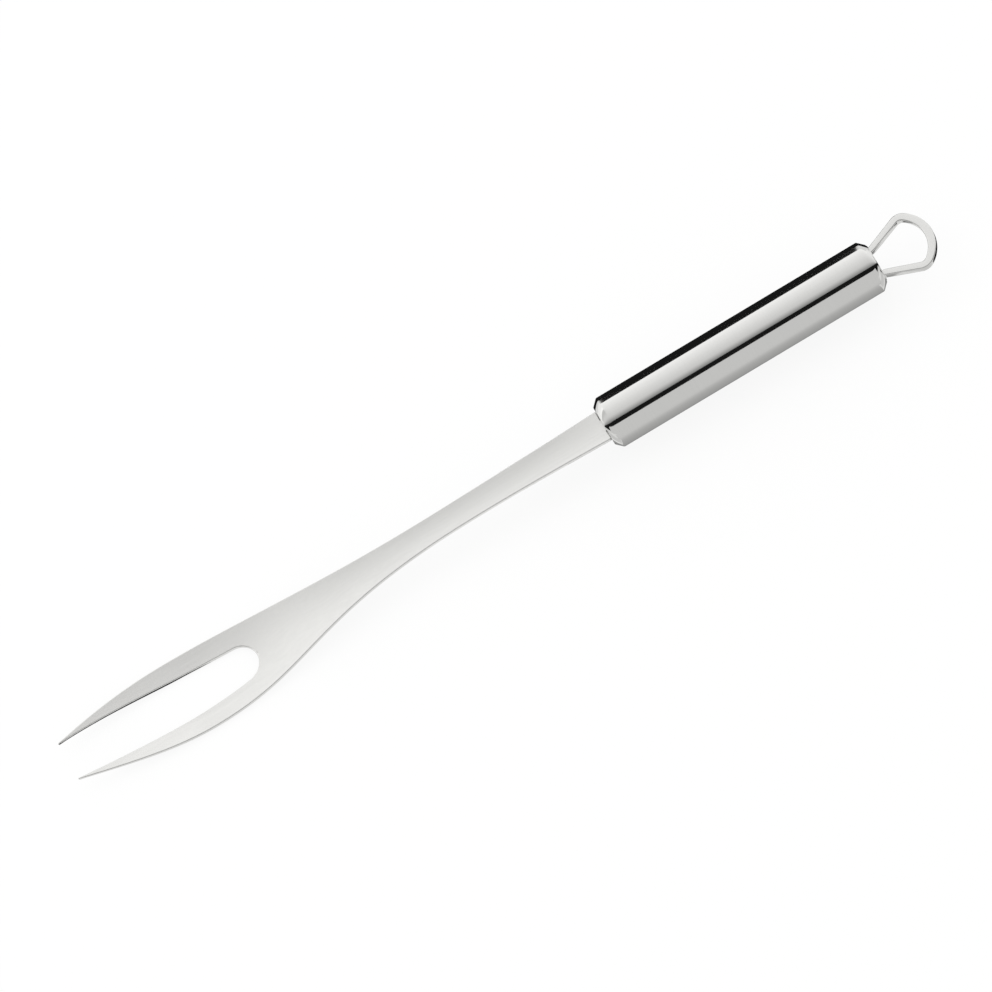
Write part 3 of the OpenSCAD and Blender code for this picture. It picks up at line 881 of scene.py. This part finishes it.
def distance_shade(name, stops):
    """Light that changes with the distance from the fork's axis towards the camera's side."""
    material, n = new_material(name)
    place = n.add("SeparateXYZ", {"Vector": n.add("TexCoord").outputs["Object"]})
    ramp_shade(n, n.math("MULTIPLY", place.outputs["Y"], -1.0), stops)
    return material


def card_angles(low, high, step):
    return steps(math.radians(low), math.radians(high), max(2, int((high - low) / step)))


def tent_panel(name, low, high, material, x_low=-TENT_HALF, x_high=TENT_HALF, r=TENT_R):
    """A curved card along the fork, from one angle to another."""
    angles = card_angles(low, high, PANEL_STEP)
    points = [(x, -r * math.sin(a), AXIS_M + r * math.cos(a)) for a in angles for x in (x_low, x_high)]
    faces = [[2 * i, 2 * i + 1, 2 * i + 3, 2 * i + 2] for i in range(len(angles) - 1)]
    card(name, points, faces, material)


def end_panel(name, x, low, high, material):
    """A flat card that closes one end of the tent between two angles."""
    r = END_OVERLAP * TENT_R
    rim = [(x, -r * math.sin(a), AXIS_M + r * math.cos(a)) for a in card_angles(low, high, END_STEP)]
    card(name, [(x, 0, AXIS_M)] + rim, [list(range(len(rim) + 1))], material)


def floor_card(name, corners, material):
    card(name, [(x, y, CARD_LIFT) for x, y in corners], [list(range(len(corners)))], material)


def tent_ends(black, grey):
    """The cards that the tube's domed ends reflect."""
    end_light = angle_shade("end_light", END_LIGHT)
    for name, side, tube_end in (("front", -1, FRONT), ("rear", 1, REAR)):
        end_x = side * TENT_HALF
        end_panel("end_overhead_" + name, end_x, END_FAR_FLOOR, SLOT_LOW, end_light)
        end_panel("end_flag_" + name, end_x, SLOT_LOW, END_SIDE_LOW, black)
        end_panel("end_side_" + name, end_x, END_SIDE_LOW, NEAR_FLOOR, grey)
        low_x = side * (TENT_HALF - LOW_FLAG_GAP)
        low_flag = [(low_x, y, z) for y, z in (
            (-LOW_FLAG_W, 0), (0, 0), (0, LOW_FLAG_H), (-LOW_FLAG_W, LOW_FLAG_H))]
        card("end_low_" + name, low_flag, [[0, 1, 2, 3]], black)
        near_x = tube_end + side * END_CARD_L
        floor_card("end_floor_" + name, (
            (near_x, -0.015), (low_x, 0.02), (low_x, -LOW_FLAG_W), (near_x, -0.05)), black)
        floor_card("end_grey_" + name, (
            (tube_end, -0.0168), (near_x, -0.0168), (near_x, -0.09), (tube_end, -0.038)), grey)


def cards():
    """Everything that the steel reflects apart from the white air and the floor."""
    overhead = angle_shade("overhead_light", OVERHEAD_LIGHT)
    black = flat_shade("black_card", BLACK_LEVEL)
    grey = flat_shade("side_light", SIDE_LEVEL)
    tent_panel("overhead_panel", FAR_EDGE, SLOT_LOW, overhead)
    tent_panel("flag_between", SLOT_LOW, SLOT_HIGH, black)
    tent_panel("side_panel", SLOT_HIGH, NEAR_FLOOR, grey)
    tent_panel("flag_far", FAR_FLOOR, FAR_EDGE, black, FRONT - 0.002, REAR + 0.03)
    tent_ends(black, grey)

    # The blade has its own light, darker towards the camera, so that its camber shows
    blade_light = angle_shade("blade_light", BLADE_LIGHT)
    tent_panel("blade_panel", BLADE_FAR, BLADE_NEAR, blade_light,
               BLADE_TENT_FRONT, FRONT - 0.003, BLADE_TENT_R)

    # Black flag on the far floor, with painted shade under the shank's end
    floor_card("far_flag_and_shank_shade", FAR_FLAG_AND_SHANK_SHADE, black)
    # Painted shade on the floor between the tines
    floor_card("tine_painted_shade", TINE_SHADE_CARD, black)
    # Painted shade on the floor round the loop's far end
    floor_card("loop_painted_shade", LOOP_SHADE_CARD, black)
    floor_card("edge_light", EDGE_CARD, flat_shade("edge_light", EDGE_LEVEL))
    # Painted shade on the floor under the loop's far leg
    floor_card("corner_painted_shade", CORNER_SHADE_CARD, black)
    # Painted shadow of the fork on the floor, seen only in the steel
    floor_card("painted_floor_shadow", FLOOR_SHADOW_CARD, distance_shade("painted_floor_shadow", FLOOR_SHADOW_LIGHT))


def studio():
    cards()
    floor_paint, n = new_material("floor_paint")
    rays = n.add("LightPath").outputs
    mirrored = n.math("MAXIMUM", rays["Is Camera Ray"], rays["Is Glossy Ray"])
    seen = n.math("MAXIMUM", mirrored, rays["Is Transmission Ray"])
    paint = n.add("BsdfDiffuse", {"Color": FLOOR_PAINT})
    glow = n.add("Emission", {"Color": WHITE, "Strength": 1.0})
    share = n.math("MULTIPLY", seen, FLOOR_GLOW_SHARE)
    n.surface("MixShader", {0: share, 1: paint.outputs[0], 2: glow.outputs[0]})
    corners = [(-FLOOR_HALF, -FLOOR_HALF, 0), (FLOOR_HALF, -FLOOR_HALF, 0),
               (FLOOR_HALF, FLOOR_HALF, 0), (-FLOOR_HALF, FLOOR_HALF, 0)]
    stage_mesh("floor", corners, [[0, 1, 2, 3]], floor_paint)

    world = bpy.data.worlds.new("studio_air")
    bpy.context.scene.world = world
    n = Nodes(world)
    air = n.add("Background", {"Color": WHITE, "Strength": 1.0})
    n.add("OutputWorld", {"Surface": air.outputs[0]})

    lamp = bpy.data.lights.new("soft_key", "AREA")
    lamp.size = KEY_SIZE
    lamp.energy = KEY_WATTS
    key = bpy.data.objects.new("soft_key", lamp)
    key.location = KEY_PLACE
    key.rotation_euler = (Vector((0, 0, 0)) - key.location).to_track_quat("-Z", "Y").to_euler()
    key.visible_glossy = False
    bpy.context.scene.collection.objects.link(key)


def camera():
    tilt, roll = math.radians(VIEW_TILT), math.radians(VIEW_ROLL)
    along = Vector((1, 0, 0))
    across = Vector((0, math.cos(tilt), math.sin(tilt)))
    back = Vector((0, -math.sin(tilt), math.cos(tilt)))
    right = math.cos(roll) * along - math.sin(roll) * across
    up = math.sin(roll) * along + math.cos(roll) * across
    handle = Vector(((TUBE_FRONT + TUBE_REAR) / 2, 0, AXIS_Z))
    centre = IMAGE_PIXELS / 2
    target = handle + right * (centre - HANDLE_PIXEL[0]) * MM_PER_PIXEL
    target -= up * (centre - HANDLE_PIXEL[1]) * MM_PER_PIXEL
    distance = IMAGE_PIXELS * MM_PER_PIXEL * LENS_MM / SENSOR_MM
    data = bpy.data.cameras.new("camera")
    data.lens = LENS_MM
    data.sensor_width = SENSOR_MM
    data.clip_end = CLIP_END_M
    eye = bpy.data.objects.new("camera", data)
    turn = Matrix((right, up, back)).transposed().to_4x4()
    eye.matrix_world = Matrix.Translation((target + back * distance) * MM) @ turn
    bpy.context.scene.collection.objects.link(eye)
    bpy.context.scene.camera = eye


camera()
tube_steel = polished_steel("polished_tube", roughness=0.06, line_height=0.0000003)
cap_steel = polished_steel("polished_cap", roughness=0.12, line_height=0.0000012)
loop_steel = polished_steel("loop_steel", roughness=0.17, line_height=0.0000012)
dress(fork_blade(satin_steel()), "fork_blade")
dress(handle_tube(tube_steel), "handle_tube")
dress(front_cap(cap_steel), "front_cap")
dress(rear_cap(cap_steel), "rear_cap")
dress(hanging_loop(loop_steel), "hanging_loop")
studio()

bpy.context.scene.view_settings.view_transform = "Standard"
